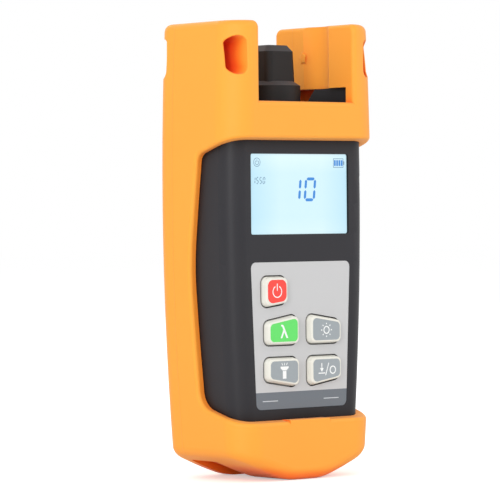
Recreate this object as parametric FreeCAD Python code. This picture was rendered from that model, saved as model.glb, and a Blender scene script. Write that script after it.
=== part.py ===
"""Handheld optical power meter in a rubber protective boot, in millimetres.

Frame: origin under the middle of the part, on the surface it stands on. +Z is up, the display faces -Y.
Depths are measured backwards from the housing's front face, and depth_y() turns them into Y.
"""
import FreeCAD
import Part
import math
import os

Vector = FreeCAD.Vector

# Boot: the overall size and the outline seen from the front
boot_height = 188.6
boot_depth = 50.6
foot_half = 9.0             # half width of the flat that it stands on
foot_blend = 25.0           # radius that eases the flat into the curved bottom
belly_x, belly_z = 24.2, 5.3    # the curved bottom passes here
heel_x, heel_z = 36.3, 10.8     # the curved bottom meets the side here
waist_x, waist_z = 40.8, 115.0  # the side bulges out to here
crown_x = 38.7              # half width at the top of the ears
boot_front_round = 11.5
boot_back_round = 8.0
boot_bottom_round = 5.0
boot_top_round = 3.2

# Boot: walls round the housing
boot_side_wall = 3.2
boot_front_wall = 5.2
boot_floor = 5.6
boot_fit = 0.15             # gap all round between the boot and the housing

# Boot: ears, notch, strap slots, grooves
notch_half = 25.5
notch_z = 155.8
notch_round = 1.8
slot_x = 34.7
slot_width = 6.3
slot_height = 15.7
slot_z = 174.3
slot_rim_round = 0.5
saddle_half = 5.2
saddle_depth = 1.7
groove_depth = 3.6
groove_from, groove_to = 10.4, 26.6
pip_z = 175.0
pip_radius = 1.1

# Boot: front window, back window and the relief under the foot
window_top_z = 140.7
lip_z = 24.4
window_edge_round = 1.5
WINDOW_CORNERS = [          # depth, height and corner radius, seen from the side
    (-20, lip_z, 0), (-1.5, lip_z, 20), (20.9, 30.9, 8), (23.6, 88, 120),
    (17.9, 134.0, 4), (-2.4, window_top_z, 25), (-20, window_top_z, 0)]
lip_tab_half = 10.8
lip_tab_height = 0.6
back_window_half = 27.0
back_window_from, back_window_to = 18.0, 88.0
back_window_corner = 6.0
relief_half = 29.5
relief_from, relief_to = 20.0, 37.0
relief_depth = 3.0

# Housing
housing_depth = 41.1
housing_wall = 2.4
housing_front_round = 8.0
housing_back_round = 6.0
housing_bottom_round = 4.0
parting_depth = 8.0
shoulder_z = 162.2
shoulder_inner = 27.0
deck_z = 150.0              # floor of the recess that carries the connector
slope_depth = 21.3          # the rear slope starts at this depth, at the top of the shoulders
slope_angle = 48.0

# Display
glass_half = 26.6
glass_bottom, glass_top = 101.1, 134.4
window_recess = 0.8
window_thick = 0.9
window_ledge = 1.5
window_fit = 0.1
cell_margin = 1.6
cell_thick = 2.2
guide_thick = 2.9
frame_wall = 1.2
inner_gap = 0.1

# Keypad overlay
panel_top, panel_bottom = 89.8, 29.4
panel_top_half, panel_bottom_half = 27.0, 24.5
panel_corner = 2.5
panel_recess = 0.5
panel_thick = 0.4

# Keys: outline corners (x, z) where the cap leaves the panel
key_rise = 2.5
key_draft = 0.6
key_corner = 2.6
key_edge = 0.7
key_gap = 0.4
key_flange = 1.0
key_flange_thick = 1.0
key_web_gap = 0.3
key_travel = 1.0
key_stem_radius = 2.4
key_stop_gap = 0.1          # left between stem and contact at the end of the travel
key_inner_x, key_outer_x = 2.9, 20.2
KEY_OUTLINES = {
    "key_power": [(-21.4, 71.2), (-8.8, 72.8), (-8.8, 83.9), (-21.4, 83.9)],
    "key_wavelength": [
        (-key_outer_x, 55.8), (-key_inner_x, 55.8), (-key_inner_x, 68.2), (-key_outer_x, 65.4)],
    "key_light": [
        (key_inner_x, 55.8), (key_outer_x, 55.8), (key_outer_x, 65.4), (key_inner_x, 68.2)],
    "key_torch": [
        (-key_outer_x, 41.0), (-key_inner_x, 38.2), (-key_inner_x, 50.5), (-key_outer_x, 50.5)],
    "key_reference": [
        (key_inner_x, 38.2), (key_outer_x, 41.0), (key_outer_x, 50.5), (key_inner_x, 50.5)],
}
mat_margin = 3.0

# Circuit board and the posts and screws that clamp it
board_thick = 1.6
board_margin = 1.4
board_top = 142.0
board_bottom = 10.0
contact_radius = 3.4
contact_thick = 0.5
contact_seat = 0.02         # solder film under what is mounted on a board
post_radius = 2.9
upper_post = (32.6, 127.0)
lower_post = (15.0, 15.0)
screw_radius = 1.2
screw_head_radius = 2.3
screw_head_height = 1.9
screw_head_depth = 21.0
screw_reach = 4.6
screw_pilot_gap = 0.05
screw_clear_gap = 0.2
driver_gap = 0.4

# Batteries, their tray and door
cell_radius = 7.1
cell_length = 49.2
nub_radius = 2.7
nub_height = 1.3
cell_pitch = 15.0
cell_count = 3
tray_gap = 0.4
tray_wall = 1.5
contact_room = 5.0
contact_sheet = 0.4
door_thick = 1.5
door_lap = 1.4
door_fit = 0.15
door_corner = 3.0
door_rib = 1.2
grip_rib_count = 5

# Optical connector, its dust cap, the detector and the torch
axis_depth = 18.5
neck_radius = 6.0
ring_radius = 9.6
ring_height = 9.5
barrel_radius = 4.0
barrel_height = 9.0
sleeve_radius = 2.2
ferrule_radius = 1.26
sleeve_length = 12.0
sleeve_fit = 0.05
key_slot_width = 2.1
key_slot_depth = 3.5
neck_length = 7.0
light_path_radius = 1.1     # narrower than the ferrule, which can't fall through to the detector
nut_across = 15.0
nut_height = 3.0
diode_radius = 2.7
diode_height = 3.6
diode_fit = 0.05
pin_radius = 0.25
sensor_board_z = 137.0
sensor_board_half = 23.0
sensor_board_depth = 11.0
cap_radius = 12.5
cap_seat_gap = 0.3
cap_collar_top = 162.9
cap_cone_top = 164.8
cap_top = 179.8
cap_grip_half = 8.0
cap_grip_top_half = 7.5
cap_grip_corner = 2.8
cap_chamfer = 2.6
cap_fit = 0.15
cap_bore = 5.2
cap_roof = 4.0
led_x = -19.3
led_radius = 2.5
led_body = 3.2
led_flange = 0.4
led_fit = 0.1

front_y = -boot_depth / 2 + boot_front_wall


def depth_y(depth):
    return front_y + depth


# ---------------------------------------------------------------- helpers

def box(x0, x1, y0, y1, z0, z1):
    return Part.makeBox(x1 - x0, y1 - y0, z1 - z0, Vector(x0, y0, z0))


def depth_box(half, d0, d1, z0, z1):
    """Box centred on X, between two depths and two heights."""
    return box(-half, half, depth_y(d0), depth_y(d1), z0, z1)


def rod(x, z, radius, d0, d1):
    """Round bar along Y."""
    return Part.makeCylinder(radius, d1 - d0, Vector(x, depth_y(d0), z), Vector(0, 1, 0))


def post(x, depth, radius, z0, z1):
    """Round bar along Z."""
    return Part.makeCylinder(radius, z1 - z0, Vector(x, depth_y(depth), z0))


def front_arc(first, middle, last):
    points = [Vector(x, 0, z) for x, z in (first, middle, last)]
    return Part.Arc(*points).toShape()


def front_line(first, last):
    return Part.makeLine(Vector(first[0], 0, first[1]), Vector(last[0], 0, last[1]))


def mirrored(point):
    return (-point[0], point[1])


def inset_points(points, distance):
    """Corners of a convex counter-clockwise outline, moved inwards by a distance."""
    count = len(points)
    lines = []
    for i in range(count):
        (x0, z0), (x1, z1) = points[i], points[(i + 1) % count]
        length = math.hypot(x1 - x0, z1 - z0)
        nx, nz = -(z1 - z0) / length, (x1 - x0) / length
        lines.append((nx, nz, nx * x0 + nz * z0 + distance))
    corners = []
    for i in range(count):
        a0, b0, c0 = lines[i - 1]
        a1, b1, c1 = lines[i]
        det = a0 * b1 - a1 * b0
        corners.append(((c0 * b1 - c1 * b0) / det, (a0 * c1 - a1 * c0) / det))
    return corners


def rounded_wire(points, radius, y):
    """Closed wire at height y through straight sides, with every corner an arc."""
    corners = []
    count = len(points)
    for i in range(count):
        here = Vector(points[i][0], y, points[i][1])
        back = Vector(points[i - 1][0], y, points[i - 1][1]) - here
        ahead = Vector(points[(i + 1) % count][0], y, points[(i + 1) % count][1]) - here
        half = back.getAngle(ahead) / 2
        reach = radius / math.tan(half)
        bisector = (back.normalize() + ahead.normalize()).normalize()
        centre = here + bisector * (radius / math.sin(half))
        corners.append((here + back * reach, centre - bisector * radius, here + ahead * reach))
    edges = []
    for i in range(count):
        start, middle, end = corners[i]
        edges.append(Part.Arc(start, middle, end).toShape())
        edges.append(Part.makeLine(end, corners[(i + 1) % count][0]))
    return Part.Wire(edges)


def rounded_plate(points, radius, d0, d1):
    face = Part.Face(rounded_wire(points, radius, depth_y(d0)))
    return face.extrude(Vector(0, d1 - d0, 0))


def rectangle(half, z0, z1):
    return [(-half, z0), (half, z0), (half, z1), (-half, z1)]


def runs_along_y(edge):
    size = edge.BoundBox
    return size.XLength < 1e-6 and size.ZLength < 1e-6


def long_edges_at(solid, y):
    """The two tall edges of a block that lie in one plane of constant Y."""
    found = []
    for edge in solid.Edges:
        size = edge.BoundBox
        flat = abs(size.YMin - y) < 1e-3 and abs(size.YMax - y) < 1e-3
        if flat and size.ZLength > boot_height / 3:
            found.append(edge)
    return found


def edges_round_bottom(solid):
    """The closed loop between the curved bottom and the upright faces."""
    limit = solid.BoundBox.ZMin + heel_z + 2
    found = []
    for edge in solid.Edges:
        low = [face.BoundBox.ZMax < limit for face in solid.ancestorsOfType(edge, Part.Face)]
        if len(low) == 2 and low[0] != low[1]:
            found.append(edge)
    return found


# ---------------------------------------------------------------- master form

def master_face():
    """Front outline shared by the boot and the housing."""
    foot, belly, heel = (foot_half, 0), (belly_x, belly_z), (heel_x, heel_z)
    waist, crown = (waist_x, waist_z), (crown_x, boot_height)
    edges = [
        front_line(mirrored(foot), foot),
        front_arc(foot, belly, heel),
        front_arc(heel, waist, crown),
        front_line(crown, mirrored(crown)),
        front_arc(mirrored(crown), mirrored(waist), mirrored(heel)),
        front_arc(mirrored(heel), mirrored(belly), mirrored(foot)),
    ]
    return Part.Face(Part.Wire(edges))


def bowed_block(inset, lift, y0, y1, front_round, back_round, bottom_round):
    """Block with the master outline, moved in by inset and up by lift, and its edges rounded."""
    face = master_face()
    if inset:
        face = face.makeOffset2D(-inset)
    face.translate(Vector(0, y0, lift))
    solid = face.extrude(Vector(0, y1 - y0, 0)).Solids[0]
    bottom = solid.BoundBox.ZMin
    ends = [e for e in solid.Edges if runs_along_y(e) and e.BoundBox.ZMax < bottom + 0.1]
    solid = solid.makeFillet(foot_blend, ends)
    solid = solid.makeFillet(front_round, long_edges_at(solid, y0))
    solid = solid.makeFillet(back_round, long_edges_at(solid, y1))
    return solid.makeFillet(bottom_round, edges_round_bottom(solid)).Solids[0]


def housing_block(extra):
    """The housing's outer form, moved in by extra."""
    inset = boot_side_wall + boot_fit + extra
    lift = boot_floor - boot_side_wall
    block = bowed_block(
        inset, lift, depth_y(extra), depth_y(housing_depth - extra),
        housing_front_round - extra, housing_back_round - extra, housing_bottom_round - extra * 0.5)
    return block.cut(depth_box(60, -20, 80, shoulder_z - extra, 250))


def rear_slope(extra):
    """Everything behind the sloping rear of the shoulders, moved forward by extra."""
    angle = math.radians(slope_angle)
    top, tall = shoulder_z + 20, 60.0
    start = slope_depth - 20 / math.tan(angle) - extra / math.sin(angle)
    profile = [(start, top), (start + tall / math.tan(angle), top - tall), (120, top - tall), (120, top)]
    points = [Vector(-60, depth_y(depth), z) for depth, z in profile]
    face = Part.Face(Part.makePolygon(points + [points[0]]))
    return face.extrude(Vector(120, 0, 0))


def deck_recess(extra):
    """The hollow between the shoulders, grown by extra."""
    return depth_box(shoulder_inner + extra, -20, 80, deck_z - extra, 250)


def housing_outer():
    block = housing_block(0).cut(rear_slope(0))
    return block.cut(deck_recess(0))


def housing_hollow():
    block = housing_block(housing_wall).cut(rear_slope(housing_wall))
    return block.cut(deck_recess(housing_wall))


# ---------------------------------------------------------------- boot

def window_cutter():
    """Side view of the front window: low lip, upright edge that leans back, sloping top."""
    corners = [Vector(-60, depth_y(depth), z) for depth, z, radius in WINDOW_CORNERS]
    edges = []
    start = corners[0]
    for i in range(1, len(corners) - 1):
        here = corners[i]
        back, ahead = corners[i - 1] - here, corners[i + 1] - here
        half = back.getAngle(ahead) / 2
        reach = WINDOW_CORNERS[i][2] / math.tan(half)
        bisector = (back.normalize() + ahead.normalize()).normalize()
        rise = WINDOW_CORNERS[i][2] * (1 / math.sin(half) - 1)
        edges.append(Part.makeLine(start, here + back * reach))
        edges.append(Part.Arc(here + back * reach, here + bisector * rise, here + ahead * reach).toShape())
        start = here + ahead * reach
    edges.append(Part.makeLine(start, corners[-1]))
    edges.append(Part.makeLine(corners[-1], corners[0]))
    return Part.Face(Part.Wire(edges)).extrude(Vector(120, 0, 0))


def window_edges(solid, cutter):
    """Where the front window's cut meets the outside of the boot."""
    found = []
    for edge in solid.Edges:
        if edge.BoundBox.YLength < 1e-6 and edge.BoundBox.ZLength < 1e-6 and edge.BoundBox.XLength > 70:
            continue
        middle = Part.Vertex(edge.valueAt((edge.FirstParameter + edge.LastParameter) / 2))
        if middle.distToShape(cutter)[0] < 1e-4:
            found.append(edge)
    return found


def strap_slot(side):
    radius = slot_width / 2
    low, high = slot_z - slot_height / 2 + radius, slot_z + slot_height / 2 - radius
    x = side * slot_x
    middle = box(x - radius, x + radius, depth_y(-10), depth_y(60), low, high)
    return middle.fuse([rod(x, low, radius, -10, 60), rod(x, high, radius, -10, 60)]).removeSplitter()


def slot_rims(solid):
    """The rims of the strap slots on the boot's front."""
    found = []
    for edge in solid.Edges:
        size = edge.BoundBox
        in_slot = abs(edge.CenterOfMass.x) < slot_x + slot_width / 2 + 0.1
        in_slot = in_slot and abs(edge.CenterOfMass.x) > slot_x - slot_width / 2 - 0.1
        in_slot = in_slot and abs(edge.CenterOfMass.z - slot_z) < slot_height / 2 + 0.1
        if in_slot and size.YMax < depth_y(8) and size.DiagonalLength < slot_height + 1:
            found.append(edge)
    return found


def strap_saddle(side):
    """Shallow hollow across the ear's rear corner, where the strap bears when it leaves its slot."""
    centre_x = crown_x + 0.6 - boot_back_round
    centre_y = boot_depth / 2 - boot_back_round
    points = rectangle(saddle_half, slot_z - slot_height / 2 - 0.4, slot_z + slot_height / 2 + 0.4)
    face = Part.Face(rounded_wire(points, slot_width / 2, boot_back_round - saddle_depth))
    block = face.extrude(Vector(0, 20, 0))
    block.rotate(Vector(0, 0, 0), Vector(0, 0, 1), -45 * side)
    block.translate(Vector(side * centre_x, centre_y, 0))
    return block


def ear_groove(side):
    """Upright hollow of circular section in the ear's inner face."""
    half = (groove_to - groove_from) / 2
    radius = (half ** 2 + groove_depth ** 2) / (2 * groove_depth)
    x = side * (notch_half + groove_depth - radius)
    centre = Vector(x, depth_y(groove_from + half), shoulder_z - 2)
    return Part.makeCylinder(radius, boot_height, centre)


def gate_pip():
    """Small mark that the mould's gate leaves on the right ear."""
    ball = Part.makeSphere(pip_radius, Vector(notch_half + 0.5, depth_y(groove_to + 1.0), pip_z))
    return ball.common(depth_box(60, 0, 80, notch_z, boot_height))


def foot_relief():
    """Shallow pocket across the underside, parallel to the curved bottom."""
    slab = depth_box(relief_half, relief_from, relief_to, -5, heel_z)
    core = master_face().makeOffset2D(-relief_depth)
    core.translate(Vector(0, depth_y(relief_from) - 5, 0))
    return slab.cut(core.extrude(Vector(0, relief_to + 10, 0)))


def lip_tab():
    tab = depth_box(lip_tab_half, -boot_front_wall, -boot_fit, lip_z - 2, lip_z + lip_tab_height)
    tops = [e for e in tab.Edges if e.BoundBox.ZMin > lip_z and e.BoundBox.YMax < depth_y(-boot_fit) - 1]
    return tab.makeFillet(lip_tab_height * 0.9, tops)


def notch_edges(solid):
    """Outline of each ear's inner face, and the notch's rim on the front and back walls."""
    found = []
    for edge in solid.Edges:
        size = edge.BoundBox
        on_ear = size.XLength < 1e-6 and abs(abs(size.XMin) - notch_half) < 1e-6
        on_rim = size.ZLength < 1e-6 and abs(size.ZMin - notch_z) < 1e-6 and size.XLength > notch_half
        outside = size.YMin < depth_y(-boot_front_wall) + 1 or size.YMax > boot_depth / 2 - 1
        if (on_ear and size.ZMax > shoulder_z and not 5 < size.YMax - front_y < 40) or (on_rim and outside):
            found.append(edge)
    return found


def make_boot():
    solid = bowed_block(
        0, 0, -boot_depth / 2, boot_depth / 2, boot_front_round, boot_back_round, boot_bottom_round)
    rim = [e for e in solid.Edges if e.BoundBox.ZMin > boot_height - 1e-3]
    solid = solid.makeFillet(boot_top_round, rim)
    cutter = window_cutter()
    solid = solid.cut(cutter)
    solid = solid.makeFillet(window_edge_round, window_edges(solid, cutter))
    solid = solid.cut(depth_box(notch_half, -20, 80, notch_z, 250))
    solid = solid.makeFillet(notch_round, notch_edges(solid))
    solid = solid.cut([strap_slot(-1), strap_slot(1)])
    solid = solid.makeFillet(slot_rim_round, slot_rims(solid))
    solid = solid.cut([strap_saddle(-1), strap_saddle(1)])
    cavity = housing_block(-boot_fit)
    solid = solid.cut([cavity, ear_groove(-1), ear_groove(1)])
    back = rectangle(back_window_half, back_window_from, back_window_to)
    solid = solid.cut([foot_relief(), rounded_plate(back, back_window_corner, 30, 60)])
    return solid.fuse([lip_tab(), gate_pip()]).removeSplitter()


# ---------------------------------------------------------------- housing

def display_rect(extra):
    return rectangle(glass_half + extra, glass_bottom - extra, glass_top + extra)


def panel_outline(extra):
    corners = [
        (-panel_bottom_half, panel_bottom), (panel_bottom_half, panel_bottom),
        (panel_top_half, panel_top), (-panel_top_half, panel_top)]
    return inset_points(corners, -extra)


def key_outline(name, extra):
    return inset_points(KEY_OUTLINES[name], -extra)


def key_hole(name, d0, d1):
    return rounded_plate(key_outline(name, key_gap), key_corner + key_gap, d0, d1)


def post_places():
    places = []
    for x, z in (upper_post, lower_post):
        places.extend([(x, z), (-x, z)])
    return places


def board_depth():
    """Depth of the board's front face: it lies on the front posts."""
    return parting_depth


def make_front_housing():
    shell = housing_outer().common(depth_box(60, -5, parting_depth, -5, 250)).cut(housing_hollow())
    posts = [rod(x, z, post_radius, housing_wall - 0.5, board_depth() - inner_gap) for x, z in post_places()]
    outer = housing_outer()
    shell = shell.fuse([solid.common(outer) for solid in posts])
    seat = window_recess + window_thick
    cutters = [
        rounded_plate(display_rect(0), 1.0, -1, seat),
        rounded_plate(display_rect(-window_ledge), 1.0, 0, housing_wall + 1),
        rounded_plate(panel_outline(window_fit), panel_corner + window_fit, -1, panel_recess)]
    cutters += [key_hole(name, -1, housing_wall + 1) for name in KEY_OUTLINES]
    pilot = screw_radius + screw_pilot_gap
    cutters += [rod(x, z, pilot, screw_reach - 0.6, parting_depth + 1) for x, z in post_places()]
    return shell.cut(cutters).removeSplitter()


def tray_half():
    return (cell_count - 1) / 2 * cell_pitch + cell_radius + tray_gap


def tray_front():
    return housing_depth - door_thick - door_rib - tray_gap - 2 * cell_radius - tray_gap


def tray_range():
    """Bottom and top of the battery space."""
    bottom = 21.0
    return bottom, bottom + cell_length + nub_height + 2 * contact_room


def tray_space():
    bottom, top = tray_range()
    return depth_box(tray_half(), tray_front(), housing_depth + 5, bottom, top)


def door_outline(extra):
    bottom, top = tray_range()
    grow = door_lap + extra
    return rectangle(tray_half() + grow, bottom - grow, top + grow)


def make_rear_housing():
    shell = housing_outer().common(depth_box(60, parting_depth, 80, -5, 250)).cut(housing_hollow())
    bottom, top = tray_range()
    back = housing_depth - housing_wall + 0.5
    tray = depth_box(
        tray_half() + tray_wall, tray_front() - tray_wall, back, bottom - tray_wall, top + tray_wall)
    posts = [
        rod(x, z, post_radius, board_depth() + board_thick + inner_gap, back) for x, z in post_places()]
    inside = housing_block(housing_wall - 0.5).cut(rear_slope(housing_wall - 0.5))
    shell = shell.fuse([tray] + [p.common(inside) for p in posts])
    axis = (0, axis_depth)
    cutters = [
        tray_space(),
        rounded_plate(door_outline(door_fit), door_corner, housing_depth - door_thick - door_fit, 60),
        post(axis[0], axis[1], neck_radius + sleeve_fit, deck_z - 10, deck_z + 10),
        post(led_x, axis_depth, led_radius + led_fit, deck_z - 10, deck_z + 10)]
    for x, z in post_places():
        cutters.append(rod(x, z, screw_radius + screw_clear_gap, 0, screw_head_depth))
        cutters.append(rod(x, z, screw_head_radius + driver_gap, screw_head_depth, 60))
    return shell.cut(cutters).removeSplitter()


# ---------------------------------------------------------------- display and keypad

def make_lcd_window():
    lens = rounded_plate(
        display_rect(-window_fit), 1.0 - window_fit, window_recess, window_recess + window_thick - 0.02)
    rim = [e for e in lens.Edges if abs(e.BoundBox.YMax - depth_y(window_recess)) < 1e-6]
    return lens.makeChamfer(0.2, rim)


def cell_rect(extra):
    half = glass_half + cell_margin + extra
    return half, glass_bottom - cell_margin - extra, glass_top + cell_margin + extra


def make_lcd_glass():
    half, low, high = cell_rect(0)
    front = housing_wall + inner_gap
    cell = depth_box(half, front, front + cell_thick / 2, low, high)
    rear = depth_box(half, front + cell_thick / 2, front + cell_thick, low + 2.2, high)
    return cell.fuse(rear)


def make_backlight_guide():
    half, low, high = cell_rect(0)
    front = housing_wall + 2 * inner_gap + cell_thick
    return depth_box(half, front, front + guide_thick - 2 * inner_gap, low, high)


def make_lcd_frame():
    half, low, high = cell_rect(frame_wall + inner_gap)
    outer = depth_box(half, housing_wall + inner_gap, board_depth() - inner_gap, low, high)
    outer = outer.common(housing_block(housing_wall + inner_gap))
    half, low, high = cell_rect(inner_gap)
    return outer.cut(depth_box(half, 0, 20, low, high))


def make_keypad_panel():
    plate = rounded_plate(
        panel_outline(0), panel_corner, panel_recess - panel_thick, panel_recess - 0.02)
    return plate.cut([key_hole(name, -1, 2) for name in KEY_OUTLINES])


def key_middle(name):
    points = KEY_OUTLINES[name]
    return sum(x for x, z in points) / 4, sum(z for x, z in points) / 4


def make_key(name):
    """Cap with drafted sides, the flange that keeps it in, and the stem that meets the board."""
    flange_front = housing_wall + inner_gap
    flange_back = flange_front + key_flange_thick
    base = rounded_wire(key_outline(name, 0), key_corner, depth_y(0))
    crown = rounded_wire(key_outline(name, -key_draft), key_corner - key_draft, depth_y(-key_rise))
    cap = Part.makeLoft([base, crown], True, True)
    rim = [e for e in cap.Edges if e.BoundBox.YMax < depth_y(-key_rise) + 1e-3]
    cap = cap.makeFillet(key_edge, rim)
    skirt = rounded_plate(key_outline(name, 0), key_corner, 0, flange_front + 0.2)
    flange = rounded_plate(key_outline(name, key_flange), key_corner + 1, flange_front, flange_back)
    x, z = key_middle(name)
    stem_back = contact_front() - key_travel - key_stop_gap
    stem = rod(x, z, key_stem_radius, flange_back - 0.2, stem_back)
    return cap.fuse([skirt, flange, stem]).removeSplitter()


def make_keymat():
    """Rubber sheet behind the front wall, open round each key's flange."""
    xs = [x for points in KEY_OUTLINES.values() for x, z in points]
    zs = [z for points in KEY_OUTLINES.values() for x, z in points]
    half, low, high = max(abs(x) for x in xs) + mat_margin, min(zs) - mat_margin, max(zs) + mat_margin
    front = housing_wall + inner_gap
    sheet = rounded_plate(rectangle(half, low, high), 3.0, front, front + key_flange_thick)
    gap = key_flange + key_web_gap
    holes = [
        rounded_plate(key_outline(name, gap), key_corner + 1 + key_web_gap, 0, 10)
        for name in KEY_OUTLINES]
    return sheet.cut(holes)


def contact_front():
    return board_depth() - contact_seat - contact_thick


def make_key_contacts():
    pads = []
    for name in KEY_OUTLINES:
        x, z = key_middle(name)
        pads.append(rod(x, z, contact_radius, contact_front(), board_depth() - contact_seat))
    return Part.makeCompound(pads)


# ---------------------------------------------------------------- boards and screws

def make_main_board():
    inset = boot_side_wall + boot_fit + housing_wall + board_margin
    face = master_face().makeOffset2D(-inset)
    face.translate(Vector(0, depth_y(board_depth()), boot_floor - boot_side_wall))
    plate = face.extrude(Vector(0, board_thick, 0))
    plate = plate.common(depth_box(60, 0, 60, board_bottom, board_top))
    holes = [rod(x, z, screw_radius + screw_clear_gap, 0, 60) for x, z in post_places()]
    return plate.cut(holes)


def make_board_chips():
    """The processor and the amplifier on the back of the board."""
    face = board_depth() + board_thick + contact_seat
    processor = depth_box(5.0, face, face + 1.4, 104, 114)
    amplifier = depth_box(2.5, face, face + 1.4, 122, 127)
    crystal = box(10, 13.2, depth_y(face), depth_y(face + 1.0), 108, 110.5)
    return Part.makeCompound([processor, amplifier, crystal])


def make_sensor_board():
    """Small board under the deck that carries the detector and the torch LED."""
    low = axis_depth - sensor_board_depth / 2
    plate = depth_box(
        sensor_board_half, board_depth() + board_thick + inner_gap, low + sensor_board_depth + 2,
        sensor_board_z, sensor_board_z + board_thick)
    return plate


def make_case_screws():
    screws = []
    for x, z in post_places():
        head = rod(x, z, screw_head_radius, screw_head_depth, screw_head_depth + screw_head_height)
        shank = rod(x, z, screw_radius, screw_reach, screw_head_depth)
        recess = rod(x, z, screw_head_radius * 0.4, screw_head_depth + 0.9, screw_head_depth + 3)
        screws.append(head.fuse(shank).cut(recess))
    return Part.makeCompound(screws)


# ---------------------------------------------------------------- batteries

def cell_places():
    """X of each cell, and whether its positive end is up."""
    first = -(cell_count - 1) / 2 * cell_pitch
    return [(first + i * cell_pitch, i % 2 == 0) for i in range(cell_count)]


def cell_depth():
    return tray_front() + tray_gap + cell_radius


def make_battery(index):
    x, positive_up = cell_places()[index]
    low, high = tray_range()
    start = low + contact_room + (0 if positive_up else nub_height)
    can = post(x, cell_depth(), cell_radius, start, start + cell_length)
    rims = [e for e in can.Edges if e.Closed]
    can = can.makeFillet(0.8, rims)
    if positive_up:
        nub = post(x, cell_depth(), nub_radius, start + cell_length - 0.2, start + cell_length + nub_height)
    else:
        nub = post(x, cell_depth(), nub_radius, start - nub_height, start + 0.2)
    return can.fuse(nub)


def leaf_contact(x, wall_z, direction):
    """Bent strip: a flat foot on the tray's end wall, and a bowed leaf that presses on the cell."""
    half = 3.0
    reach = contact_room - 0.3
    points = [(-4.5, 0.1), (-2.0, reach - 0.8), (0.0, reach), (2.0, reach - 0.8), (4.5, 0.1)]
    path = [Vector(x - half, depth_y(cell_depth() + d), wall_z + direction * r) for d, r in points]
    curve = Part.BSplineCurve()
    curve.interpolate(path)
    leaf = curve.toShape().extrude(Vector(2 * half, 0, 0))
    bow = leaf.Faces[0].makeOffsetShape(-direction * contact_sheet, 1e-3, fill=True)
    return bow.Solids[0] if bow.Solids else bow


def make_battery_contacts(at_top):
    low, high = tray_range()
    contacts = []
    for x, positive_up in cell_places():
        wall = high if at_top else low
        contacts.append(leaf_contact(x, wall, -1 if at_top else 1))
    return Part.makeCompound(contacts)


def make_battery_door():
    front = housing_depth - door_thick
    plate = rounded_plate(door_outline(0), door_corner - door_fit, front, housing_depth)
    bottom, top = tray_range()
    ribs = []
    for x, positive_up in cell_places():
        ribs.append(box(
            x - 0.6, x + 0.6, depth_y(front - door_rib), depth_y(front + 0.3), bottom + 8, top - 8))
    grooves = []
    for i in range(grip_rib_count):
        z = top - 6 - 2.4 * i
        grooves.append(rounded_plate(
            rectangle(9.0, z - 0.6, z + 0.6), 0.55, housing_depth - 0.5, housing_depth + 1))
    return plate.fuse(ribs).cut(grooves).removeSplitter()


# ---------------------------------------------------------------- connector, cap and torch

def barrel_top():
    return deck_z + ring_height + barrel_height


def make_connector_body():
    """Neck through the deck, plain ring that holds the cap, and the barrel that takes the plug."""
    neck = post(0, axis_depth, neck_radius, deck_z - neck_length, deck_z + 1)
    ring = post(0, axis_depth, ring_radius, deck_z + 0.05, deck_z + ring_height)
    ring = ring.makeChamfer(0.6, [e for e in ring.Edges if e.Closed and e.BoundBox.ZMin > deck_z + 5])
    barrel = post(0, axis_depth, barrel_radius, deck_z + ring_height - 1, barrel_top())
    barrel = barrel.makeChamfer(0.4, [e for e in barrel.Edges if e.BoundBox.ZMin > barrel_top() - 1e-3])
    body = ring.fuse([neck, barrel])
    plug_bore = post(
        0, axis_depth, sleeve_radius + sleeve_fit, barrel_top() - sleeve_length - 1, barrel_top() + 1)
    slot = box(
        -key_slot_width / 2, key_slot_width / 2, depth_y(axis_depth - 2 * barrel_radius),
        depth_y(axis_depth), barrel_top() - key_slot_depth, barrel_top() + 1)
    diode_bore = post(
        0, axis_depth, diode_radius + diode_fit, deck_z - neck_length - 1, deck_z - neck_length + 5)
    light_path = post(0, axis_depth, light_path_radius, deck_z - neck_length, barrel_top())
    return body.cut([plug_bore, slot, diode_bore, light_path])


def make_connector_nut():
    side = nut_across / math.sqrt(3)
    top = deck_z - housing_wall - 0.05
    corners = []
    for i in range(6):
        angle = math.radians(60 * i)
        corners.append(Vector(side * math.cos(angle), depth_y(axis_depth) + side * math.sin(angle), top))
    nut = Part.Face(Part.makePolygon(corners + [corners[0]])).extrude(Vector(0, 0, -nut_height))
    bore = post(0, axis_depth, neck_radius + sleeve_fit, deck_z - 20, deck_z)
    return nut.cut(bore)


def make_ferrule_sleeve():
    bottom = barrel_top() - sleeve_length
    tube = post(0, axis_depth, sleeve_radius, bottom, barrel_top() - 0.6)
    bore = post(0, axis_depth, ferrule_radius, bottom - 1, barrel_top() + 1)
    return tube.cut(bore)


def make_photodiode():
    bottom = deck_z - neck_length + 0.6
    can = post(0, axis_depth, diode_radius, bottom, bottom + diode_height)
    can = can.makeFillet(0.4, [e for e in can.Edges if e.BoundBox.ZMin > bottom + 1])
    pins = []
    for i in range(3):
        angle = math.radians(90 * i)
        x, depth = 1.27 * math.cos(angle), axis_depth + 1.27 * math.sin(angle)
        pins.append(post(x, depth, pin_radius, sensor_board_z + board_thick + 0.05, bottom + 0.3))
    return can.fuse(pins)


def make_dust_cap():
    """Round collar, conical shoulder and a rounded square grip, hollow over the connector."""
    bottom = deck_z + cap_seat_gap
    collar = post(0, axis_depth, cap_radius, bottom, cap_collar_top)
    cone = Part.makeCone(
        cap_radius, cap_grip_half + 1.6, cap_cone_top - cap_collar_top,
        Vector(0, depth_y(axis_depth), cap_collar_top))
    grip = grip_loft()
    cap = collar.fuse([cone, grip]).removeSplitter()
    wide = post(0, axis_depth, ring_radius + cap_fit, bottom - 1, deck_z + ring_height + cap_seat_gap)
    narrow = post(0, axis_depth, cap_bore, bottom, cap_top - cap_roof)
    return cap.cut([wide, narrow])


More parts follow.
